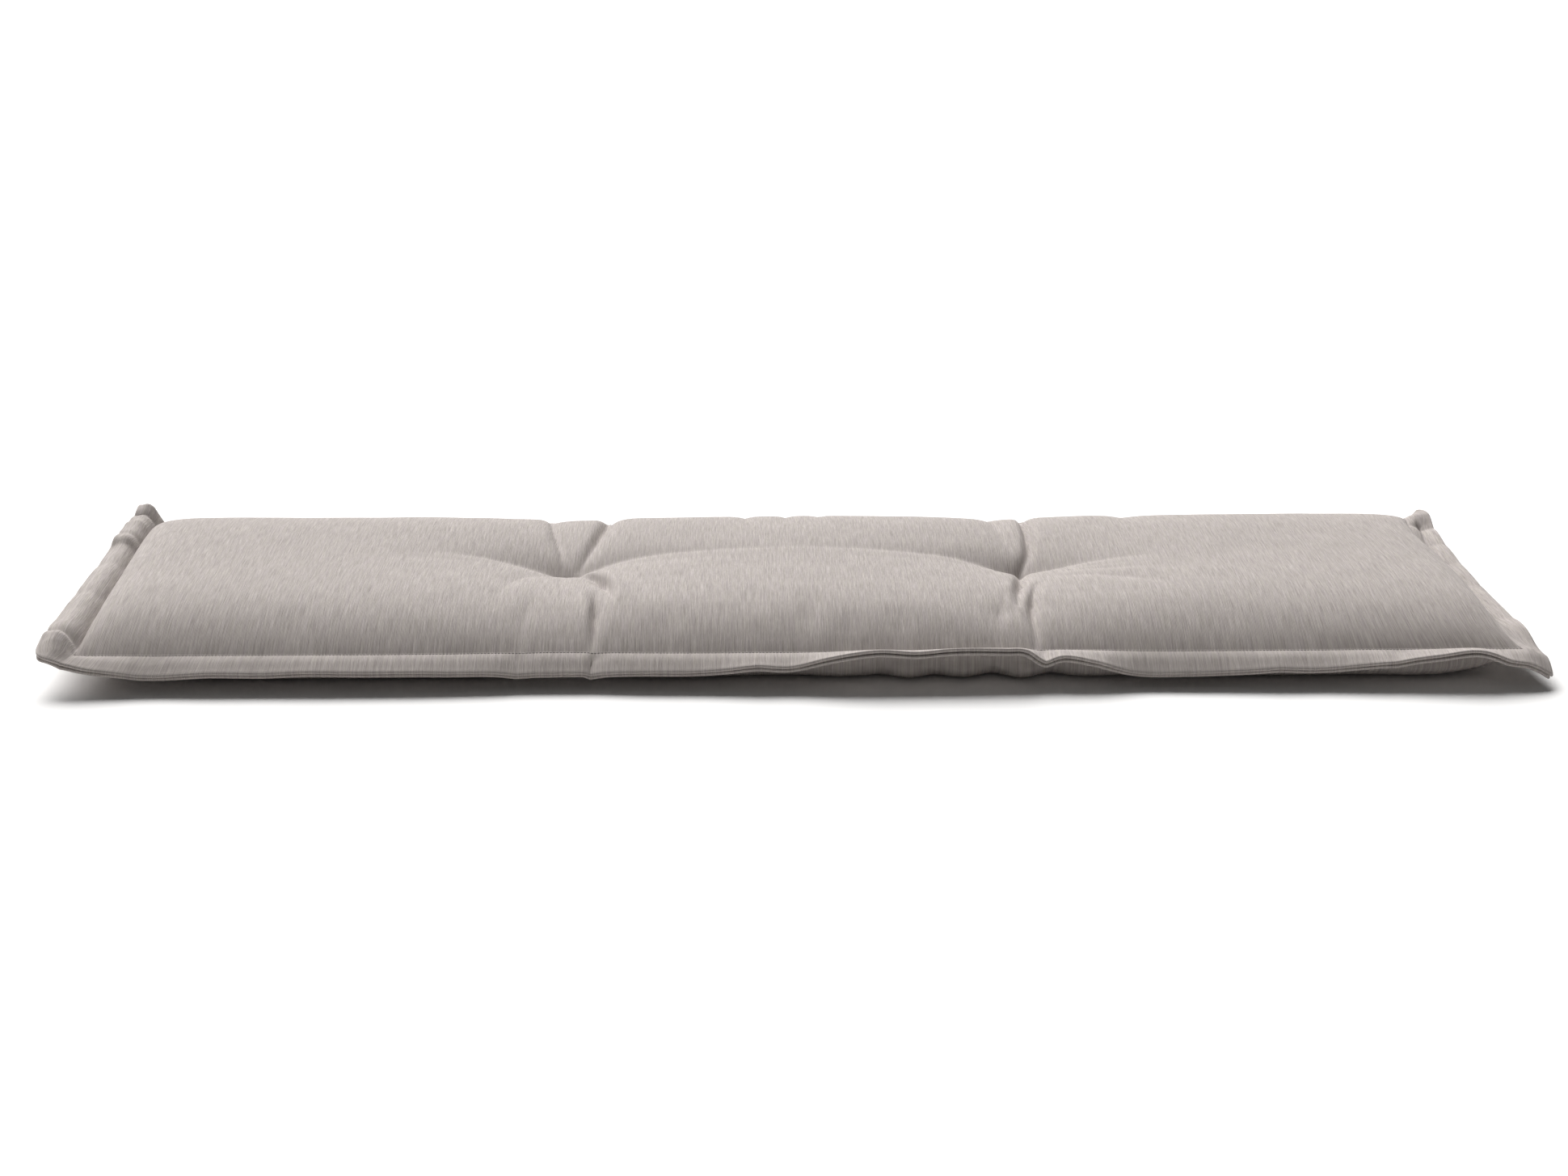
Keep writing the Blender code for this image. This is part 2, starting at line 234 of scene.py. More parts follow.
# Folds of the flange: a line on the flat cloth, height (a trough is negative), half-widths and shares.
FLANGE_FOLDS = (
    # The front flange's corner laps over the end of the left flange.
    (((-0.719, -0.220), (-0.735, -0.210), (-0.752, -0.202)), 0.0022, 0.014, 0.004, (0.5, 1.0, 0.6)),
    (((-0.719, -0.210), (-0.735, -0.199), (-0.752, -0.190)), -0.0045, 0.004, 0.008, (1.2, 1.0, 0.3)),
    # The left flange's kink and its tucked back corner.
    (((-0.719, 0.092), (-0.735, 0.100), (-0.752, 0.106)), 0.0040, 0.004, 0.016, (0.2, 1.0, 0.8)),
    (((-0.719, 0.112), (-0.735, 0.118), (-0.752, 0.124)), -0.0030, 0.008, 0.006, (0.8, 1.0, 0.4)),
    (((-0.719, 0.160), (-0.735, 0.166), (-0.752, 0.170)), 0.0024, 0.010, 0.010, (0.3, 1.0, 0.8)),
    (((-0.719, 0.196), (-0.735, 0.202), (-0.752, 0.206)), -0.0042, 0.005, 0.006, (0.6, 1.0, 0.8)),
    (((-0.719, 0.214), (-0.735, 0.222), (-0.752, 0.232)), 0.0034, 0.006, 0.006, (0.6, 1.0, 0.6)),
    (((-0.719, -0.080), (-0.735, -0.074), (-0.752, -0.070)), -0.0016, 0.012, 0.012, (1.0, 1.0, 0.6)),
    (((-0.719, 0.020), (-0.735, 0.030), (-0.752, 0.034)), -0.0018, 0.010, 0.012, (1.0, 1.0, 0.5)),
    # The right flange, with a long valley beside the filled part.
    (
        ((0.735, -0.214), (0.734, -0.100), (0.734, 0.050), (0.735, 0.200)),
        -0.0100, 0.0050, 0.0090, (0.5, 1.0, 0.8),
    ),
    (((0.719, 0.206), (0.735, 0.196), (0.752, 0.190)), -0.0030, 0.006, 0.010, (0.8, 1.0, 0.8)),
    (((0.719, 0.150), (0.735, 0.138), (0.752, 0.132)), -0.0018, 0.010, 0.014, (1.0, 1.0, 0.6)),
    (((0.719, 0.085), (0.735, 0.074), (0.752, 0.068)), -0.0012, 0.010, 0.012, (1.0, 1.0, 0.4)),
    (((0.719, 0.010), (0.735, 0.000), (0.752, -0.008)), -0.0018, 0.010, 0.010, (1.0, 1.0, 0.4)),
    (((0.719, -0.110), (0.735, -0.120), (0.752, -0.125)), -0.0016, 0.010, 0.010, (1.0, 1.0, 0.4)),
    (((0.690, -0.219), (0.700, -0.235), (0.704, -0.252)), -0.0020, 0.010, 0.010, (1.0, 1.0, 0.4)),
    # The front flange, below the tufts' folds and between.
    (((-0.202, -0.219), (-0.203, -0.235), (-0.204, -0.252)), -0.0040, 0.010, 0.0036, (1.2, 1.0, 0.5)),
    (((-0.275, -0.219), (-0.276, -0.235), (-0.277, -0.252)), -0.0022, 0.012, 0.010, (1.0, 1.0, 0.5)),
    (((0.241, -0.219), (0.243, -0.235), (0.246, -0.252)), -0.0032, 0.010, 0.005, (1.0, 1.0, 0.5)),
    (((-0.640, -0.219), (-0.645, -0.235), (-0.650, -0.252)), -0.0014, 0.016, 0.016, (1.0, 1.0, 0.5)),
    (((0.600, -0.219), (0.596, -0.235), (0.590, -0.252)), -0.0022, 0.014, 0.012, (1.0, 1.0, 0.5)),
    (((0.470, -0.219), (0.474, -0.235), (0.476, -0.252)), 0.0010, 0.016, 0.016, (0.2, 1.0, 0.8)),
    # The back flange, behind the tufts' folds.
    (((-0.208, 0.219), (-0.206, 0.235), (-0.204, 0.252)), -0.0035, 0.008, 0.008, (1.0, 1.0, 0.5)),
    (((0.258, 0.219), (0.260, 0.235), (0.262, 0.252)), -0.0035, 0.008, 0.008, (1.0, 1.0, 0.5)),
)

# Bulges (+) and gathers (-) of the belly along the front and the back: (place, width, size).
BELLY_GATHERS = (
    (0.000, 0.090, -0.004), (0.480, 0.140, 0.003), (-0.240, 0.040, -0.004), (-0.120, 0.060, 0.002),
    (0.040, 0.030, 0.004), (0.085, 0.012, -0.003),
    (0.112, 0.016, 0.006), (0.140, 0.010, -0.003), (0.165, 0.016, 0.005), (0.196, 0.010, -0.004),
    (0.225, 0.016, 0.008), (0.256, 0.012, -0.004), (0.290, 0.025, 0.004), (0.360, 0.040, 0.001),
    (0.640, 0.050, 0.006),
)
GATHER_DROP = 0.35

# Small unevenness of the filling and the cloth: (wavelength, height), and the pucker's reach from the seam.
LUMPS = ((0.110, 0.0012), (0.040, 0.0005))
FLANGE_WAVES = (0.050, 0.0011)
SEAM_PUCKER = (0.014, 0.0005, 0.020)
LUMP_SEED = 3.0
PUCKER_SEED = 9.0
FLANGE_SEED = 5.0

# How fast the flange's folds grow from the topstitching, and how far past the rim its waves go on growing.
FOLD_GAIN = 3
WAVES_END = 1.2

# The topstitching, just outside the filled part and standing a share of its radius proud, and the thread
# of each tuft.
STITCH_PITCH = 0.0034
STITCH_LENGTH = 0.0026
STITCH_RADIUS = 0.00028
STITCH_OUT = 0.0012
STITCH_RAISE = 0.2
STITCH_SIDES = 5
STITCH_PROFILE = ((-0.5, 0.35), (-0.42, 0.85), (-0.2, 1.0), (0.2, 1.0), (0.42, 0.85), (0.5, 0.35))
TUFT_STITCH_LENGTH = 0.008
TUFT_STITCH_RADIUS = 0.0007
TUFT_STITCH_TURNS = (-35.0, 20.0, 75.0)

# Streaks of the yarn: (width, length, detail, seed), and the noise values between which they blend. The
# slubs take the two tones, the next ones the two hues, and the rest two factors of grey.
SLUBS = (0.0009, 0.026, 3.0, 2.0)
SLUB_SPAN = (0.28, 0.72)
HUE_STREAKS = (0.0016, 0.040, 2.0, 11.0)
HUE_SPAN = (0.38, 0.62)
GREY_STREAKS = (
    ((0.0007, 0.007, 2.0, 17.0), (0.30, 0.70), (0.94, 1.06)),
    ((0.0045, 0.120, 2.0, 23.0), (0.30, 0.70), (0.98, 1.02)),
    ((0.0019, 0.055, 2.0, 53.0), (0.34, 0.66), (0.93, 1.06)),
    ((0.0008, 0.008, 1.0, 31.0), (0.66, 0.74), (1.0, 1.12)),
    ((0.0008, 0.050, 1.0, 43.0), (0.26, 0.32), (0.80, 1.0)),
)
STREAK_ROUGHNESS = 0.55
SEED_SHIFT = 0.37

# Yarn colours of the chine cloth, as linear values.
YARN_DARK = (0.322, 0.294, 0.281, 1.0)
YARN_PALE = (0.452, 0.423, 0.409, 1.0)
YARN_PINK = (0.985, 0.955, 0.960, 1.0)
YARN_SAND = (1.000, 0.985, 0.945, 1.0)

# The surface of the cloth and of the thread, and the relief of the slubs over the ribbed weave.
CLOTH_ROUGHNESS = 0.92
CLOTH_SPECULAR = 0.18
SHEEN = 0.12
SHEEN_ROUGHNESS = 0.45
SHEEN_TINT = (0.95, 0.92, 0.90, 1.0)
THREAD_ROUGHNESS = 0.7
THREAD_TWIST = 900.0
THREAD_SPAN = (0.3, 0.7)
WEAVE_BANDS = 300.0
WEAVE_DISTORTION = 1.4
WEAVE_DETAIL = 1.0
SLUB_RELIEF = 1.5
CLOTH_BUMP = 0.00030
BUMP_STRENGTH = 0.5

# The room's own light and what the camera sees of it, and the soft light's strength, spread, height and
# turn in degrees.
ROOM_LIGHT = 0.10
ROOM_COLOUR = (1.0, 0.99, 0.98, 1.0)
BACKDROP_COLOUR = (1.0, 1.0, 1.0, 1.0)
SOFT_LIGHT = 6.1
SOFT_LIGHT_SPREAD = 58.0
SOFT_LIGHT_HEIGHT = 42.0
SOFT_LIGHT_TURN = 19.0
SOFT_LIGHT_COLOUR = (1.0, 0.995, 0.99)
FLOOR_COLOUR = (0.95, 0.945, 0.94, 1.0)
FLOOR_SIZE = 30.0

# The camera, fitted to the photograph's outline of the cushion.
CAMERA_PLACE = (-0.0492, -2.6658, 0.9011)
CAMERA_PITCH = 0.3170
CAMERA_YAW = -0.0150
CAMERA_LENS = 60.09
CAMERA_SENSOR = 36.0


def column(table, k):
    """The rows (place, k-th value) of a table."""
    return [(row[0], row[k]) for row in table]


def eased(table, places):
    """The values at places in a table of (place, value) rows, on a smooth curve through the rows."""
    x = np.array([row[0] for row in table])
    y = np.array([row[1] for row in table])
    tangents = np.gradient(y, x)
    i = np.clip(np.searchsorted(x, places, side="right") - 1, 0, len(x) - 2)
    step = x[i + 1] - x[i]
    t = np.clip((places - x[i]) / step, 0, 1)
    start = (1 + 2 * t) * (1 - t) ** 2 * y[i] + t * (1 - t) ** 2 * step * tangents[i]
    end = t * t * (3 - 2 * t) * y[i + 1] - t * t * (1 - t) * step * tangents[i + 1]
    return start + end


def stations(half, spacing):
    """Places from -half to half, symmetrical, as far apart as the spacing table says."""
    x = [row[0] for row in spacing]
    y = [row[1] for row in spacing]
    steps = []
    reach = 0.0
    while reach < half:
        step = float(np.interp(reach, x, y))
        steps.append(step)
        reach += step
    right = np.cumsum(steps) * half / reach
    return np.concatenate([-right[::-1], [0.0], right])


def with_flange(inner, half, reach):
    """The stations again, with the flange's own steps outside them on both sides."""
    outer = half + reach * np.linspace(0, 1, FLANGE_STEPS + 1)[1:]
    return np.concatenate([-outer[::-1], inner, outer])


def smooth_line(points, steps=6):
    """A smooth curve through the points, as an array of points."""
    p = np.array(points, float)
    p = np.concatenate([[2 * p[0] - p[1]], p, [2 * p[-1] - p[-2]]])
    found = []
    for i in range(1, len(p) - 2):
        for t in np.arange(steps) / steps:
            a = 2 * p[i]
            b = (p[i + 1] - p[i - 1]) * t
            c = (2 * p[i - 1] - 5 * p[i] + 4 * p[i + 1] - p[i + 2]) * t**2
            d = (3 * p[i] - p[i - 1] - 3 * p[i + 1] + p[i + 2]) * t**3
            found.append((a + b + c + d) / 2)
    found.append(p[-2])
    return np.array(found)


def off_line(u, v, line):
    """(distance, share of the way along, side) of places from a line: the side is +1 to its left."""
    best = np.full(u.shape, np.inf)
    share = np.zeros(u.shape)
    side = np.ones(u.shape)
    parts = len(line) - 1
    for i in range(parts):
        a, d = line[i], line[i + 1] - line[i]
        t = np.clip(((u - a[0]) * d[0] + (v - a[1]) * d[1]) / (d @ d), 0, 1)
        dx, dy = u - a[0] - t * d[0], v - a[1] - t * d[1]
        gap = np.hypot(dx, dy)
        near = gap < best
        best = np.where(near, gap, best)
        share = np.where(near, (i + t) / parts, share)
        side = np.where(near, np.sign(d[0] * dy - d[1] * dx), side)
    return best, share, side


def relief(u, v, folds, power):
    """The sum of the folds' depths at places on the flat cloth."""
    total = np.zeros(u.shape)
    for row in folds:
        fold = dict(zip(FOLD_COLUMNS, row))
        gap, share, side = off_line(u, v, smooth_line(fold["line"]))
        width = np.where(side > 0, fold["left"], fold["right"])
        strength = np.interp(share, (0.0, 0.5, 1.0), fold["strength"])
        total += fold["depth"] * strength * np.exp(-((gap / width) ** power))
    return total


def waves(u, v, wavelength, seed):
    """Smooth seeded unevenness between about -1 and 1 at places on the flat cloth."""
    flat = [
        noise.noise(Vector((x / wavelength, y / wavelength, seed)))
        for x, y in zip(u.ravel().tolist(), v.ravel().tolist())
    ]
    return np.array(flat).reshape(u.shape)


def swell(u, v, power, roundness):
    """How full the cushion is, from 0 at the topstitching to 1 in the middle."""
    along = 1 - np.minimum(np.abs(u) / HALF_LENGTH, 1) ** power[0]
    across = 1 - np.minimum(np.abs(v) / HALF_WIDTH, 1) ** power[1]
    return along ** roundness[0] * across ** roundness[1]


def tuft_depth(u, v):
    """How far the two tufts pull the top down, with a shallow band to the front and back."""
    off = np.abs(u) - TUFT_X
    along = (np.abs(off) / TUFT_REACH[0]) ** TUFT_STAR
    across = (np.abs(v) / TUFT_REACH[1]) ** TUFT_STAR
    reach = (along + across) ** (1 / TUFT_STAR)
    band = TUFT_BAND_DEPTH * np.exp(-((off / TUFT_BAND_REACH) ** 2))
    return TUFT_DEPTH * np.exp(-(reach**TUFT_POWER)) + band


def top_height(u, v):
    """The height of the top panel at places inside the topstitching."""
    full = swell(u, v, CROWN_POWER, CROWN_ROUND)
    pulled = tuft_depth(u, v) + relief(u, v, TOP_FOLDS, TOP_FOLD_POWER)
    lumps = sum(size * waves(u, v, length, LUMP_SEED + length) for length, size in LUMPS)
    length, size, reach = SEAM_PUCKER
    to_seam = np.minimum(HALF_LENGTH - np.abs(u), HALF_WIDTH - np.abs(v))
    pucker = size * waves(u, v, length, PUCKER_SEED) * np.exp(-((to_seam / reach) ** 2))
    held = np.minimum(1.0, full / PULL_FADE)
    soft = np.sqrt(full)
    return SEAM_HEIGHT + PINCH_HALF + CROWN_RISE * full - pulled * held + (lumps + pucker) * soft


def gathers(u):
    """How much fuller (+) or more drawn in (-) the belly is at places along the cushion."""
    total = np.zeros(u.shape)
    for middle, width, size in BELLY_GATHERS:
        total += size * np.exp(-(((u - middle) / width) ** 2))
    return total


def bottom_height(u, v):
    """The height of the bottom panel at places inside the topstitching."""
    full = swell(u, v, BELLY_POWER, BELLY_ROUND)
    reach = np.hypot(np.abs(u) - TUFT_X, v) / UNDER_TUFT_RADIUS
    dimple = UNDER_TUFT_DEPTH * np.maximum(0, 1 - reach**2) ** 2
    wall = SEAM_HEIGHT - PINCH_HALF - BELLY_DROP * full - GATHER_DROP * gathers(u) * np.sqrt(full)
    return np.maximum(0.0, wall) + dimple


def bulge(u, v):
    """How far the belly swells out past the straight fall from the topstitching, at front and back."""
    full = swell(u, v, BELLY_POWER, BELLY_ROUND)
    out = (BELLY_BULGE + gathers(u)) * np.sin(math.pi * np.minimum(full / BELLY_BULGE_FULL, 1))
    return np.where(np.abs(v) > BELLY_BULGE_START * HALF_WIDTH, np.copysign(out, v), 0)


def end_bulge(u):
    """How far the crown swells out past its fall to the topstitching, at the left and right ends."""
    along = 1 - np.minimum(np.abs(u) / HALF_LENGTH, 1) ** CROWN_POWER[0]
    return np.copysign(END_BULGE * np.sin(math.pi * along), u)


def outward(beyond, lift, curl, arch):
    """(run, rise) of flange points that lie this far beyond the topstitching."""
    share = np.maximum(beyond, 0) / FLANGE
    rise = lift * share**curl
    run = np.sqrt(np.maximum(beyond**2 - CURL_SHORTENS * rise**2, (LEAST_REACH * beyond) ** 2))
    return run, rise + arch * np.sin(math.pi * np.clip(share, 0, 1)) ** ARCH_POWER


def end_shift(u, v, beyond):
    """How far the filled part and the flange lie outwards of their straight lines at the ends."""
    body, rim = (
        np.where(u > 0, eased(column(RIGHT_SHIFT, k), v), eased(column(LEFT_SHIFT, k), v)) for k in (1, 2)
    )
    t = np.clip((np.abs(u) - SHIFT_START) / (HALF_LENGTH - SHIFT_START), 0, 1)
    share = np.clip(beyond / FLANGE, 0, 1)
    return (body + (rim - body) * share) * t * t * (3 - 2 * t)


def corner_draw(u, v, past_x, past_y):
    """The share of the flange's reach that is left at its drawn-in corners."""
    both = (np.minimum(past_x, past_y) / FLANGE) ** 2
    drawn = np.zeros(u.shape)
    for (end, side), size in CORNER_DRAW.items():
        drawn = np.where((u * end > 0) & (v * side > 0), size, drawn)
    return 1 - drawn * np.minimum(both, 1)


def end_flange(u, v, past_x, past_y):
    """(run, rise) of the flange at the left and right ends."""
    lift = np.where(u > 0, eased(RIGHT_LIFT, v), eased(LEFT_LIFT, v))
    curl = np.where(u > 0, CURLS["right"], CURLS["left"])
    arch = np.where(u > 0, ARCHES["right"], ARCHES["left"])
    return outward(past_x, lift, curl, arch * (1 - np.clip(past_y / FLANGE, 0, 1)))


def side_flange(u, v, past_x, past_y):
    """(run, rise) of the flange along the front and the back."""
    lift = np.where(v > 0, eased(BACK_LIFT, u), eased(FRONT_LIFT, u))
    curl = np.where(v > 0, CURLS["back"], CURLS["front"])
    arch = np.where(v > 0, ARCHES["back"], ARCHES["front"])
    return outward(past_y, lift, curl, arch * (1 - np.clip(past_x / FLANGE, 0, 1)))


def flange_bumps(u, v, beyond):
    """The height of the flange's folds and waves, which start at the topstitching."""
    loose = np.clip(beyond / FLANGE, 0, WAVES_END)
    length, size = FLANGE_WAVES
    bumps = relief(u, v, FLANGE_FOLDS, FLANGE_FOLD_POWER) * np.minimum(1.0, FOLD_GAIN * loose)
    bumps += size * waves(u, v, length, FLANGE_SEED) * loose
    return np.where(beyond > 0, bumps, 0)


def middle_plane(u, v):
    """Points of the plane half-way through the flange, also over the filled part, where it is level."""
    past_x = np.maximum(np.abs(u) - HALF_LENGTH, 0)
    past_y = np.maximum(np.abs(v) - HALF_WIDTH, 0)
    beyond = np.maximum(past_x, past_y)
    run_x, rise_x = end_flange(u, v, past_x, past_y)
    run_y, rise_y = side_flange(u, v, past_x, past_y)
    kept = corner_draw(u, v, past_x, past_y)
    near_tuft = np.exp(-(((np.abs(u) - TUFT_X) / TUFT_DRAW_REACH) ** 2))
    drawn = TUFT_DRAW_IN * near_tuft * (v / HALF_WIDTH) ** 2
    x = np.minimum(np.abs(u), HALF_LENGTH) + run_x * kept + end_shift(u, v, beyond)
    y = np.minimum(np.abs(v), HALF_WIDTH) + run_y * kept - drawn
    z = SEAM_HEIGHT + rise_x + rise_y + flange_bumps(u, v, beyond)
    return np.stack([np.copysign(x, u), np.copysign(y, v), z], axis=-1)


def normals(u, v):
    """The flange plane's upward normals, turning to straight up at the topstitching."""
    along = middle_plane(u + NORMAL_STEP, v) - middle_plane(u - NORMAL_STEP, v)
    across = middle_plane(u, v + NORMAL_STEP) - middle_plane(u, v - NORMAL_STEP)
    normal = np.cross(along, across)
    normal /= np.linalg.norm(normal, axis=-1, keepdims=True)
    beyond = np.maximum(np.abs(u) - HALF_LENGTH, np.abs(v) - HALF_WIDTH)
    share = np.clip(beyond / (UPRIGHT_SHARE * FLANGE), 0, 1)[..., None]
    mixed = normal * share + np.array([0, 0, 1.0]) * (1 - share)
    return mixed / np.linalg.norm(mixed, axis=-1, keepdims=True)


def flange_half(share):
    """Half the flange's thickness at a share of the way from the topstitching to the rim."""
    straight = PINCH_HALF + (RIM_HALF - PINCH_HALF) * share
    puff = np.sin(math.pi * np.clip(share, 0, 1)) ** PUFF_POWER
    return straight + np.maximum(PUFF_HALF - straight, 0) * puff


def panel_points(columns, rows, reach, side):
    """The points of one panel's grid, and their flat places: side 1 is the top and -1 the bottom."""
    u, v = np.meshgrid(columns, rows, indexing="ij")
    points = middle_plane(u, v)
    beyond = np.maximum(np.abs(u) - HALF_LENGTH, np.abs(v) - HALF_WIDTH)
    on_flange = beyond > ON_SEAM
    half = flange_half(beyond / reach)
    flange = points + side * half[..., None] * normals(u, v)
    filled = points.copy()
    if side > 0:
        filled[..., 2] = top_height(u, v)
        filled[..., 0] += end_bulge(u)
    else:
        filled[..., 2] = bottom_height(u, v)
        filled[..., 1] += bulge(u, v)
    return np.where(on_flange[..., None], flange, filled), np.stack([u, v], axis=-1)


def rim_ring(last_c, last_r):
    """The grid places round the rim, anticlockwise from above, as (column, row) numbers."""
    ring = [(i, 0) for i in range(last_c)]
    ring += [(last_c, j) for j in range(last_r)]
    ring += [(i, last_r) for i in range(last_c, 0, -1)]
    ring += [(0, j) for j in range(last_r, 0, -1)]
    return ring


def rim_sections(columns, rows):
    """Rings of points down the rim: round the upper roll, into the seam, and round the lower roll."""
    ring = np.array(rim_ring(len(columns) - 1, len(rows) - 1))
    u, v = columns[ring[:, 0]], rows[ring[:, 1]]
    out_u = np.where(np.isin(ring[:, 0], (0, len(columns) - 1)), np.sign(u), 0)
    out_v = np.where(np.isin(ring[:, 1], (0, len(rows) - 1)), np.sign(v), 0)
    size = np.hypot(out_u, out_v)
    out_u, out_v = out_u / size, out_v / size
    up = normals(u, v)

    def ring_at(out, height):
        return middle_plane(u + out_u * out, v + out_v * out) + height * up

    upper = [
        (ROLL * math.cos(math.radians(a)), RIM_HALF - ROLL + ROLL * math.sin(math.radians(a)))
        for a in ROLL_ANGLES
    ]
    lower = [(out, -height) for out, height in reversed(upper)]
    seam = [(ROLL - 2 * SEAM_DEPTH, 0.0)]
    return [ring_at(out, height) for out, height in upper + seam + lower]


def bottom_faces(ids, step):
    """The bottom panel's faces on every step-th station, its outermost cells meeting every station."""
    last_c, last_r = ids.shape[0] - 1, ids.shape[1] - 1
    columns = list(range(0, last_c + 1, step))
    rows = list(range(0, last_r + 1, step))
    faces = []
    for i0, i1 in zip(columns, columns[1:]):
        for j0, j1 in zip(rows, rows[1:]):
            front = range(i0, i1) if j0 == 0 else (i0,)
            right = range(j0, j1) if i1 == last_c else (j0,)
            back = range(i1, i0, -1) if j1 == last_r else (i1,)
            left = range(j1, j0, -1) if i0 == 0 else (j1,)
            loop = [(i, j0) for i in front] + [(i1, j) for j in right]
            loop += [(i, j1) for i in back] + [(i0, j) for j in left]
            faces.append([int(ids[place]) for place in reversed(loop)])
    return faces


def cover_faces(shape, ring, sections):
    """The faces of the top, of the bottom and of the rim between them, all turned outwards."""
    count = shape[0] * shape[1]
    ids = np.arange(count).reshape(shape)
    corners = [ids[:-1, :-1], ids[1:, :-1], ids[1:, 1:], ids[:-1, 1:]]
    faces = np.stack(corners, axis=-1).reshape(-1, 4).tolist()
    faces += bottom_faces(ids + count, BOTTOM_STEP)
    around = [np.array([ids[place] for place in ring])]
    around += [2 * count + k * len(ring) + np.arange(len(ring)) for k in range(sections)]
    around.append(np.array([ids[place] + count for place in ring]))
    for above, below in zip(around, around[1:]):
        quads = np.stack([np.roll(above, -1), above, below, np.roll(below, -1)], axis=-1)
        faces += quads.tolist()
    return faces


def new_object(name, data):
    """A new object in the scene that holds the data."""
    found = bpy.data.objects.new(name, data)
    bpy.context.scene.collection.objects.link(found)
    return found


def make_cover():
    """The whole cover as one closed mesh."""
    reach = FLANGE - ROLL
    columns = with_flange(stations(HALF_LENGTH, COLUMN_SPACING), HALF_LENGTH, reach)
    rows = with_flange(stations(HALF_WIDTH, ROW_SPACING), HALF_WIDTH, reach)
    top, flat = panel_points(columns, rows, reach, 1)
    bottom, _ = panel_points(columns, rows, reach, -1)
    sections = rim_sections(columns, rows)
    ring = rim_ring(len(columns) - 1, len(rows) - 1)
    points = np.concatenate([top.reshape(-1, 3), bottom.reshape(-1, 3)] + sections)
    faces = cover_faces(top.shape[:2], ring, len(sections))
    mesh = bpy.data.meshes.new("cushion_cover")
    mesh.from_pydata(points.tolist(), [], faces)
    keep_flat_places(mesh, flat, ring, len(sections))
    drop_loose_points(mesh)
    mesh.shade_smooth()
    return new_object("cushion_cover", mesh)


def keep_flat_places(mesh, flat, ring, sections):
    """Keeps each point's place on the flat cloth, which the weave follows."""
    rim = np.array([flat[place] for place in ring])
    places = np.concatenate([flat.reshape(-1, 2)] * 2 + [rim] * sections)
    places = np.column_stack([places, np.zeros(len(places))])
    layer = mesh.attributes.new("flat", "FLOAT_VECTOR", "POINT")
    layer.data.foreach_set("vector", places.astype(np.float32).ravel())


def drop_loose_points(mesh):
    """Removes the bottom panel's points that no face uses."""
    bm = bmesh.new()
    bm.from_mesh(mesh)
    bmesh.ops.delete(bm, geom=[p for p in bm.verts if not p.link_faces], context="VERTS")
    bm.to_mesh(mesh)
    bm.free()


def add_node(tree, kind, **values):
    """A node with its plain properties set."""
    node = tree.nodes.new(kind)
    for name, value in values.items():
        setattr(node, name, value)
    return node


def streaks(tree, place, across, along, detail, seed):
    """A noise drawn out along Y: across and along are the yarn's width and length in metres."""
    scale = add_node(tree, "ShaderNodeMapping")
    scale.inputs["Scale"].default_value = (1 / across, 1 / along, 1.0)
    scale.inputs["Location"].default_value = (seed, seed * SEED_SHIFT, 0.0)
    tree.links.new(place, scale.inputs["Vector"])
    found = add_node(tree, "ShaderNodeTexNoise", noise_dimensions="2D")
    found.inputs["Scale"].default_value = 1.0
    found.inputs["Detail"].default_value = detail
    found.inputs["Roughness"].default_value = STREAK_ROUGHNESS
    tree.links.new(scale.outputs["Vector"], found.inputs["Vector"])
    return found.outputs["Fac"]


def ramp(tree, source, span, low_colour, high_colour):
    """A colour for each value: the low colour up to the span's start, the high colour from its end on."""
    found = add_node(tree, "ShaderNodeValToRGB")
    found.color_ramp.elements[0].position = span[0]
    found.color_ramp.elements[0].color = low_colour
    found.color_ramp.elements[1].position = span[1]
    found.color_ramp.elements[1].color = high_colour
    tree.links.new(source, found.inputs["Fac"])
    return found.outputs["Color"]


def multiplied(tree, first, second):
    """The product of two colours."""
    found = add_node(tree, "ShaderNodeMix", data_type="RGBA", blend_type="MULTIPLY")
    found.inputs["Factor"].default_value = 1.0
    tree.links.new(first, found.inputs["A"])
    tree.links.new(second, found.inputs["B"])
    return found.outputs["Result"]


def grey(value):
    """A grey of this value, as a colour."""
    return (value, value, value, 1.0)


def cloth_colour(tree, place):
    """Chine yarn: long slubs along Y in two tones and hues, with short flecks and darker threads."""
    colour = ramp(tree, streaks(tree, place, *SLUBS), SLUB_SPAN, YARN_DARK, YARN_PALE)
    hue = ramp(tree, streaks(tree, place, *HUE_STREAKS), HUE_SPAN, YARN_PINK, YARN_SAND)
    colour = multiplied(tree, colour, hue)
    for sizes, span, (low, high) in GREY_STREAKS:
        tone = ramp(tree, streaks(tree, place, *sizes), span, grey(low), grey(high))
        colour = multiplied(tree, colour, tone)
    return colour


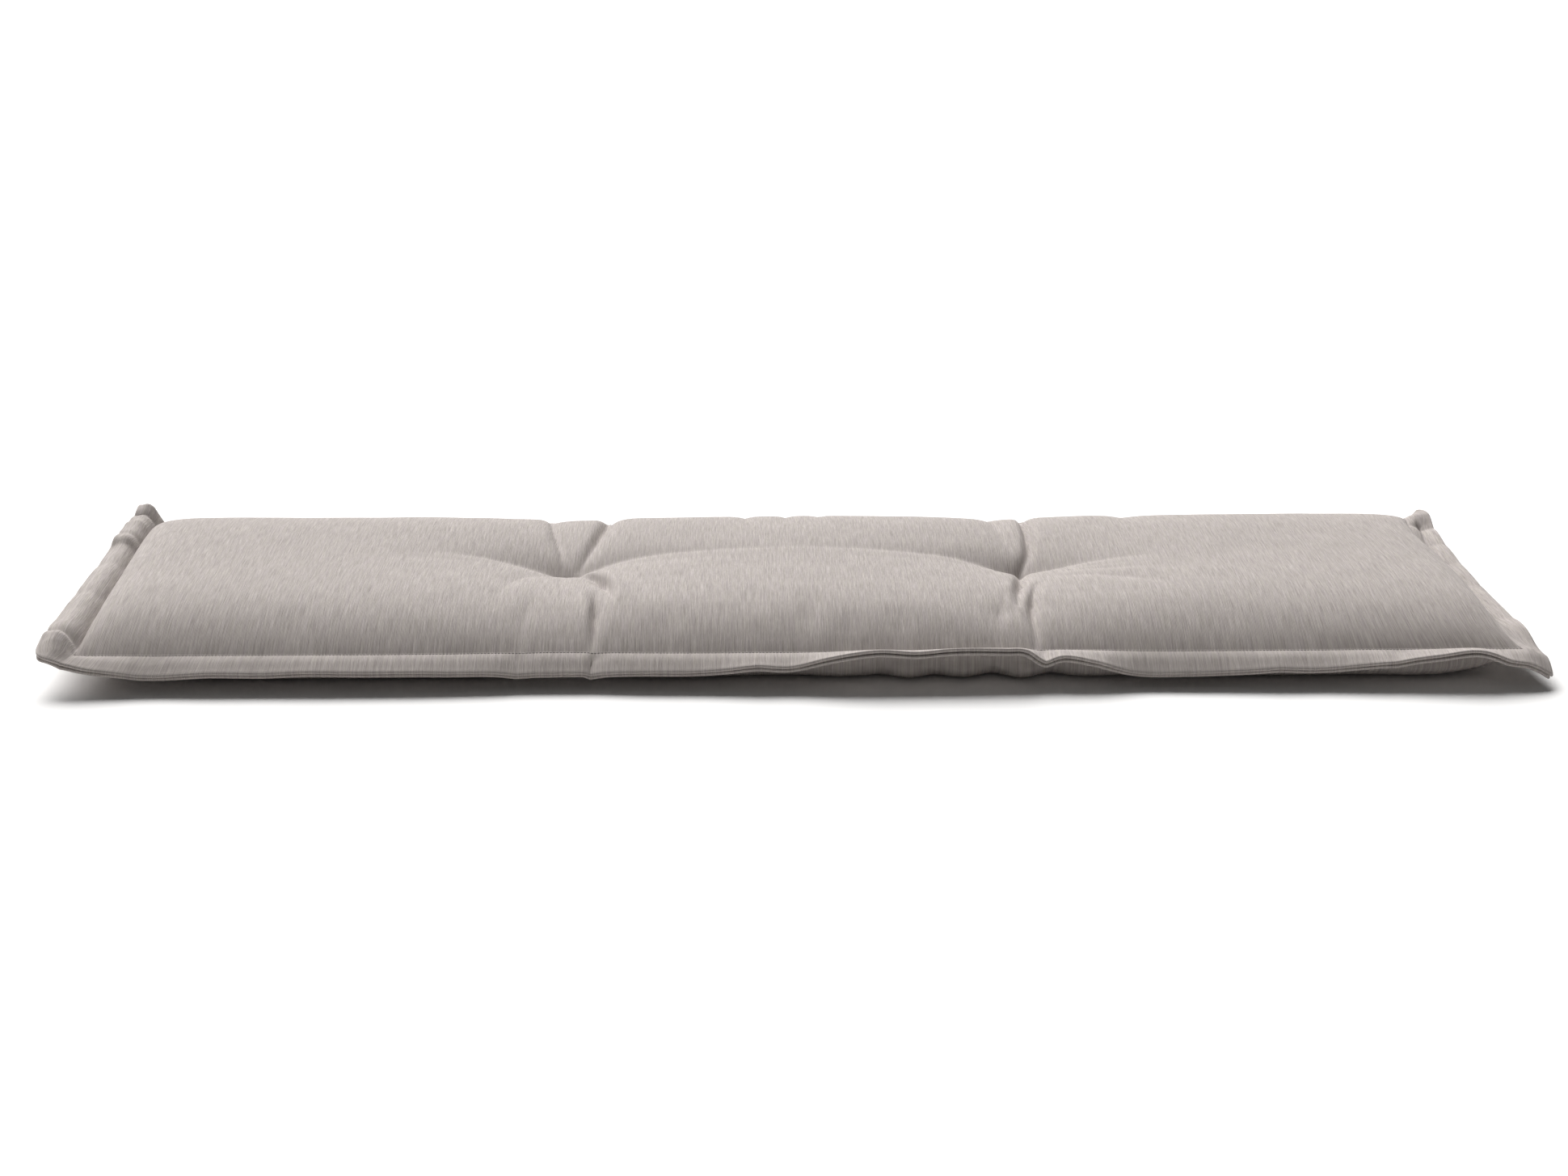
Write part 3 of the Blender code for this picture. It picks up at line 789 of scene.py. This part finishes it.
def cloth_relief(tree, place):
    """The surface normal with the relief of the slubs over the ribbed weave."""
    weave = add_node(tree, "ShaderNodeTexWave", wave_type="BANDS", bands_direction="X")
    weave.inputs["Scale"].default_value = WEAVE_BANDS
    weave.inputs["Distortion"].default_value = WEAVE_DISTORTION
    weave.inputs["Detail"].default_value = WEAVE_DETAIL
    tree.links.new(place, weave.inputs["Vector"])
    height = add_node(tree, "ShaderNodeMath", operation="MULTIPLY_ADD")
    tree.links.new(streaks(tree, place, *SLUBS), height.inputs[0])
    height.inputs[1].default_value = SLUB_RELIEF
    tree.links.new(weave.outputs["Fac"], height.inputs[2])
    bump = add_node(tree, "ShaderNodeBump")
    bump.inputs["Strength"].default_value = BUMP_STRENGTH
    bump.inputs["Distance"].default_value = CLOTH_BUMP
    tree.links.new(height.outputs["Value"], bump.inputs["Height"])
    return bump.outputs["Normal"]


def new_material(name):
    """(material, its node tree, its shader) of a new material."""
    material = bpy.data.materials.new(name)
    material.use_nodes = True
    tree = material.node_tree
    return material, tree, tree.nodes["Principled BSDF"]


def cloth_material():
    """Warm grey chine weave: fine slubs along Y in paler and darker yarn, over a plain ribbed weave."""
    material, tree, shader = new_material("chine_cloth")
    shader.inputs["Roughness"].default_value = CLOTH_ROUGHNESS
    shader.inputs["Specular IOR Level"].default_value = CLOTH_SPECULAR
    shader.inputs["Sheen Weight"].default_value = SHEEN
    shader.inputs["Sheen Roughness"].default_value = SHEEN_ROUGHNESS
    shader.inputs["Sheen Tint"].default_value = SHEEN_TINT
    flat = add_node(tree, "ShaderNodeAttribute", attribute_name="flat", attribute_type="GEOMETRY")
    place = flat.outputs["Vector"]
    tree.links.new(cloth_colour(tree, place), shader.inputs["Base Color"])
    tree.links.new(cloth_relief(tree, place), shader.inputs["Normal"])
    return material


def thread_material():
    """The sewing thread: the cloth's colour, a little smoother, with a fine twist."""
    material, tree, shader = new_material("sewing_thread")
    shader.inputs["Roughness"].default_value = THREAD_ROUGHNESS
    place = add_node(tree, "ShaderNodeTexCoord")
    twist = add_node(tree, "ShaderNodeTexNoise")
    twist.inputs["Scale"].default_value = THREAD_TWIST
    tree.links.new(place.outputs["Object"], twist.inputs["Vector"])
    tone = ramp(tree, twist.outputs["Fac"], THREAD_SPAN, YARN_DARK, YARN_PALE)
    tree.links.new(tone, shader.inputs["Base Color"])
    return material


def add_stitch(points, faces, start, end, up, radius):
    """Adds one small rounded stitch, arched between its ends, to the points and faces."""
    along = end - start
    across = np.cross(along, up)
    across /= np.linalg.norm(across)
    lift = np.cross(across, along)
    lift /= np.linalg.norm(lift)
    middle = (start + end) / 2
    base = len(points)
    angles = np.arange(STITCH_SIDES) * 2 * math.pi / STITCH_SIDES
    for place, girth in STITCH_PROFILE:
        centre = middle + along * place + lift * radius * (1 - 4 * place * place)
        for a in angles:
            points.append(centre + (across * math.cos(a) + lift * math.sin(a)) * radius * girth)
    for k in range(len(STITCH_PROFILE) - 1):
        for s in range(STITCH_SIDES):
            n = (s + 1) % STITCH_SIDES
            low, high = base + k * STITCH_SIDES, base + (k + 1) * STITCH_SIDES
            faces.append((low + s, low + n, high + n, high + s))
    last = base + (len(STITCH_PROFILE) - 1) * STITCH_SIDES
    faces.append(tuple(base + s for s in reversed(range(STITCH_SIDES))))
    faces.append(tuple(last + s for s in range(STITCH_SIDES)))


def stitch_piece(name, runs, radius):
    """One piece of small rounded stitches, each from a start to an end point."""
    points, faces = [], []
    for start, end, up in runs:
        add_stitch(points, faces, start, end, up, radius)
    mesh = bpy.data.meshes.new(name)
    mesh.from_pydata([tuple(p) for p in points], [], faces)
    mesh.shade_smooth()
    return new_object(name, mesh)


def stitch_spots():
    """The flat places where the topstitching's stitches start, and those where they end."""
    half_u, half_v = HALF_LENGTH + STITCH_OUT, HALF_WIDTH + STITCH_OUT
    corners = [(-half_u, -half_v), (half_u, -half_v), (half_u, half_v), (-half_u, half_v)]
    starts, ends = [], []
    for (au, av), (bu, bv) in zip(corners, corners[1:] + corners[:1]):
        length = math.hypot(bu - au, bv - av)
        count = round(length / STITCH_PITCH)
        for k in range(count):
            first = k / count
            last = first + STITCH_LENGTH / length
            starts.append((au + (bu - au) * first, av + (bv - av) * first))
            ends.append((au + (bu - au) * last, av + (bv - av) * last))
    return np.array(starts), np.array(ends)


def topstitching():
    """The row of stitches round the filled part, on the top and on the underside."""
    out = STITCH_OUT / (FLANGE - ROLL)
    runs = []
    for side in (1, -1):
        placed = []
        for spots in stitch_spots():
            u, v = spots[:, 0], spots[:, 1]
            half = flange_half(np.full(len(u), out)) + STITCH_RAISE * STITCH_RADIUS
            placed.append(middle_plane(u, v) + side * half[:, None] * normals(u, v))
        runs += [(a, b, np.array([0, 0, float(side)])) for a, b in zip(*placed)]
    return stitch_piece("topstitching", runs, STITCH_RADIUS)


def tuft_stitches():
    """The few crossed threads at the bottom of each dimple."""
    runs = []
    for end in (-1, 1):
        for turn in TUFT_STITCH_TURNS:
            reach = TUFT_STITCH_LENGTH / 2
            step = np.array([math.cos(math.radians(turn)), math.sin(math.radians(turn))]) * reach
            spots = np.array([[end * TUFT_X, 0.0]]) + np.array([-step, step])
            heights = top_height(spots[:, 0], spots[:, 1])
            placed = np.column_stack([spots, heights])
            runs.append((placed[0], placed[1], np.array([0, 0, 1.0])))
    return stitch_piece("tuft_stitches", runs, TUFT_STITCH_RADIUS)


def make_floor():
    """The plain pale floor."""
    mesh = bpy.data.meshes.new("floor")
    reach = FLOOR_SIZE
    corners = [(-reach, -reach, 0), (reach, -reach, 0), (reach, reach, 0), (-reach, reach, 0)]
    mesh.from_pydata(corners, [], [(0, 1, 2, 3)])
    floor = new_object("floor", mesh)
    material, _, shader = new_material("white_floor")
    shader.inputs["Base Color"].default_value = FLOOR_COLOUR
    shader.inputs["Roughness"].default_value = 1.0
    shader.inputs["Specular IOR Level"].default_value = 0.0
    mesh.materials.append(material)


def make_room():
    """A pale room light, with a pure white backdrop for the camera."""
    world = bpy.data.worlds.new("white_room")
    world.use_nodes = True
    tree = world.node_tree
    room = tree.nodes["Background"]
    room.inputs["Color"].default_value = ROOM_COLOUR
    room.inputs["Strength"].default_value = ROOM_LIGHT
    backdrop = add_node(tree, "ShaderNodeBackground")
    backdrop.inputs["Color"].default_value = BACKDROP_COLOUR
    seen = add_node(tree, "ShaderNodeLightPath")
    chosen = add_node(tree, "ShaderNodeMixShader")
    tree.links.new(seen.outputs["Is Camera Ray"], chosen.inputs["Fac"])
    tree.links.new(room.outputs["Background"], chosen.inputs[1])
    tree.links.new(backdrop.outputs["Background"], chosen.inputs[2])
    tree.links.new(chosen.outputs["Shader"], tree.nodes["World Output"].inputs["Surface"])
    bpy.context.scene.world = world


def make_soft_light():
    """One broad soft light from above and behind the cushion, a little from the left."""
    light = bpy.data.lights.new("overhead_softbox", "SUN")
    light.energy = SOFT_LIGHT
    light.angle = math.radians(SOFT_LIGHT_SPREAD)
    light.color = SOFT_LIGHT_COLOUR
    lamp = new_object("overhead_softbox", light)
    lamp.rotation_euler = (math.radians(SOFT_LIGHT_HEIGHT - 90), 0.0, math.radians(SOFT_LIGHT_TURN))


def make_camera():
    """The camera at the photograph's viewing angle."""
    data = bpy.data.cameras.new("camera")
    data.lens = CAMERA_LENS
    data.sensor_width = CAMERA_SENSOR
    camera = new_object("camera", data)
    camera.location = CAMERA_PLACE
    camera.rotation_euler = (math.pi / 2 - CAMERA_PITCH, 0.0, CAMERA_YAW)
    bpy.context.scene.camera = camera


def dress(piece, material):
    """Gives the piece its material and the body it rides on."""
    piece.data.materials.append(material)
    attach(piece, "root")


make_camera()
make_room()
make_soft_light()
make_floor()
bpy.context.scene.view_settings.view_transform = "Standard"

cover = make_cover()
dress(cover, cloth_material())
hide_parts("cushion")

thread = thread_material()
dress(topstitching(), thread)
dress(tuft_stitches(), thread)
